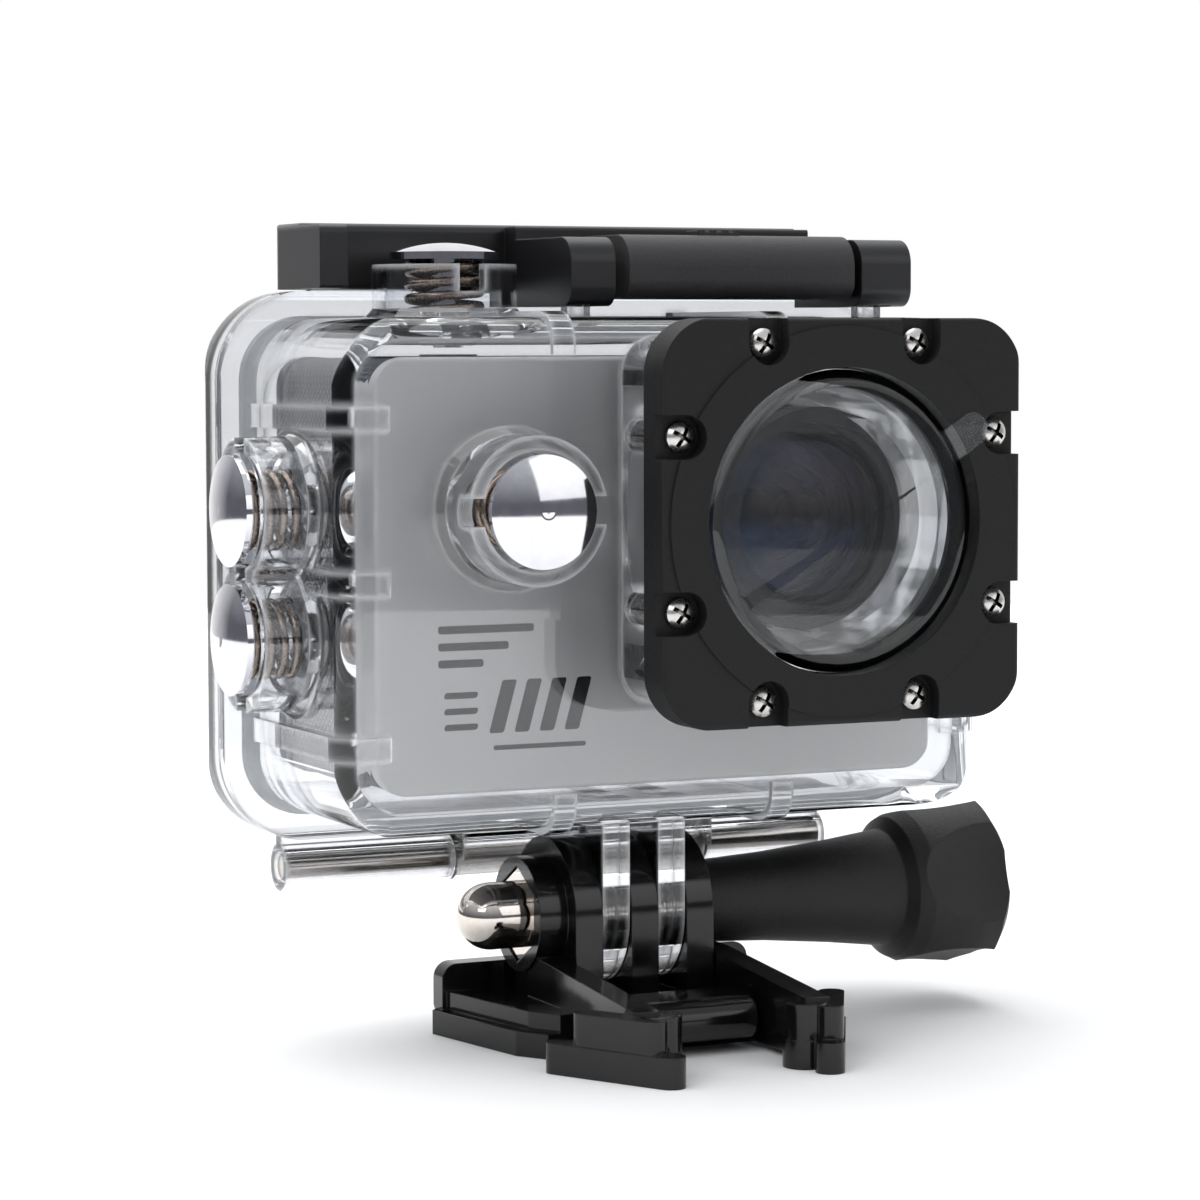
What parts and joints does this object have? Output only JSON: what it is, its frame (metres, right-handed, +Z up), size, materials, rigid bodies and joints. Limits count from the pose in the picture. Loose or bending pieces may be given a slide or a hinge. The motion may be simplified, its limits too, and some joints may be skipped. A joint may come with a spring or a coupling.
{
  "type": "action camera",
  "caption": "Action camera in a clear diving housing with sprung buttons and a latched rear door, tilting on a quick-release buckle with a thumb screw.",
  "frame": {"origin": "on the buckle's underside, straight below the tilt pivot", "axes": "+Z up from the surface the buckle lies on, the lens looks along -Y, +X along the tilt pivot towards the thumb screw"},
  "size_m": [0.0824, 0.0465, 0.0797],
  "materials": {
    "clear": "clear moulded polycarbonate",
    "seal": "translucent silicone",
    "steel": "bright drawn stainless steel",
    "screw_steel": "nickel plated",
    "plate_black": "fine spark-eroded texture",
    "port": "polished",
    "gasket_black": "moulded",
    "film": "thin peel-off film",
    "latch_black": "satin",
    "lever_black": "sandy texture",
    "lock_black": "satin",
    "chrome": "polished",
    "nut_chrome": "nickel plated, polished",
    "spring_steel": "drawn wire",
    "grey_paint": "satin grey lacquer",
    "band_rubber": "diamond knurl",
    "screen_glass": "polished, dark",
    "barrel_black": "satin",
    "lens_glass": "coated",
    "sensor": "glass-covered die",
    "board": "solder mask",
    "battery_wrap": "printed sleeve",
    "door_plastic": "moulded",
    "card_plastic": "moulded",
    "key_plastic": "moulded",
    "buckle_gloss": "polished",
    "knob_matt": "sandy texture"
  },
  "bodies": {
    "buckle": {"buckle": "buckle_gloss", "acorn_nut": "nut_chrome"},
    "clamp": {"clamp_screw": "screw_steel", "thumb_knob": "knob_matt"},
    "housing": {"housing_shell": "clear", "hinge_pin": "steel", "lens_plate": "plate_black", "plate_screws": "screw_steel", "port_glass": "port", "port_gasket": "gasket_black", "protective_film": "film", "button_seals": "gasket_black", "bar_pins": "steel", "camera_front": "grey_paint", "camera_band": "band_rubber", "camera_back": "band_rubber", "screen": "screen_glass", "lens_barrel": "barrel_black", "lens_front_glass": "lens_glass", "lens_cell": "barrel_black", "lens_rear_glass": "lens_glass", "image_sensor": "sensor", "main_board": "board", "battery": "battery_wrap", "battery_door": "door_plastic", "memory_card": "card_plastic", "shutter_spring": "spring_steel", "power_spring": "spring_steel", "up_spring": "spring_steel", "down_spring": "spring_steel"},
    "door": {"rear_door": "clear", "door_gasket": "seal"},
    "latch": {"latch_bar": "latch_black", "lever_pin": "steel"},
    "lever": {"latch_lever": "lever_black"},
    "lock": {"slide_lock": "lock_black"},
    "shutter_plunger": {"shutter_button": "chrome", "shutter_clip": "steel"},
    "shutter_key": {"shutter_key": "key_plastic"},
    "power_plunger": {"power_button": "chrome", "power_clip": "steel"},
    "power_key": {"power_key": "key_plastic"},
    "up_plunger": {"up_button": "chrome", "up_clip": "steel"},
    "up_key": {"up_key": "key_plastic"},
    "down_plunger": {"down_button": "chrome", "down_clip": "steel"},
    "down_key": {"down_key": "key_plastic"}
  },
  "joints": [
    {"name": "housing_tilt", "type": "hinge", "parent": "buckle", "child": "housing", "pos_m": [0, 0, 0.012], "axis": [1, 0, 0], "range_deg": [-40, 40]},
    {"name": "clamp_turn", "type": "hinge", "parent": "buckle", "child": "clamp", "pos_m": [0, 0, 0.012], "axis": [1, 0, 0], "continuous": true},
    {"name": "door_swing", "type": "hinge", "parent": "housing", "child": "door", "pos_m": [0, 0.0129, 0.01625], "axis": [-1, 0, 0], "range_deg": [0, 100]},
    {"name": "latch_lift", "type": "hinge", "parent": "housing", "child": "latch", "pos_m": [0, -0.0038, 0.07455], "axis": [1, 0, 0], "range_deg": [0, 24]},
    {"name": "lever_lift", "type": "hinge", "parent": "latch", "child": "lever", "pos_m": [0, 0.0017, 0.0754], "axis": [-1, 0, 0], "range_deg": [0, 65]},
    {"name": "lock_slide", "type": "slide", "parent": "lever", "child": "lock", "axis": [1, 0, 0], "range_m": [0, 0.0024]},
    {"name": "shutter_press", "type": "slide", "parent": "housing", "child": "shutter_plunger", "axis": [0, 0, -1], "range_m": [0, 0.001], "stiffness_N_per_m": 400, "springref_m": -0.001, "deforming": ["shutter_spring"]},
    {"name": "shutter_key_press", "type": "slide", "parent": "housing", "child": "shutter_key", "axis": [0, 0, -1], "range_m": [0, 0.0005]},
    {"name": "power_press", "type": "slide", "parent": "housing", "child": "power_plunger", "axis": [0, 1, 0], "range_m": [0, 0.001], "stiffness_N_per_m": 400, "springref_m": -0.001, "deforming": ["power_spring"]},
    {"name": "power_key_press", "type": "slide", "parent": "housing", "child": "power_key", "axis": [0, 1, 0], "range_m": [0, 0.0005]},
    {"name": "up_press", "type": "slide", "parent": "housing", "child": "up_plunger", "axis": [1, 0, 0], "range_m": [0, 0.001], "stiffness_N_per_m": 400, "springref_m": -0.001, "deforming": ["up_spring"]},
    {"name": "up_key_press", "type": "slide", "parent": "housing", "child": "up_key", "axis": [1, 0, 0], "range_m": [0, 0.0005]},
    {"name": "down_press", "type": "slide", "parent": "housing", "child": "down_plunger", "axis": [1, 0, 0], "range_m": [0, 0.001], "stiffness_N_per_m": 400, "springref_m": -0.001, "deforming": ["down_spring"]},
    {"name": "down_key_press", "type": "slide", "parent": "housing", "child": "down_key", "axis": [1, 0, 0], "range_m": [0, 0.0005]}
  ],
  "couplings": [
    {"joint": "latch_lift", "follows": "door_swing", "ratio": 0.24},
    {"joint": "shutter_key_press", "follows": "shutter_press", "ratio": 0.5},
    {"joint": "power_key_press", "follows": "power_press", "ratio": 0.5},
    {"joint": "up_key_press", "follows": "up_press", "ratio": 0.5},
    {"joint": "down_key_press", "follows": "down_press", "ratio": 0.5}
  ]
}
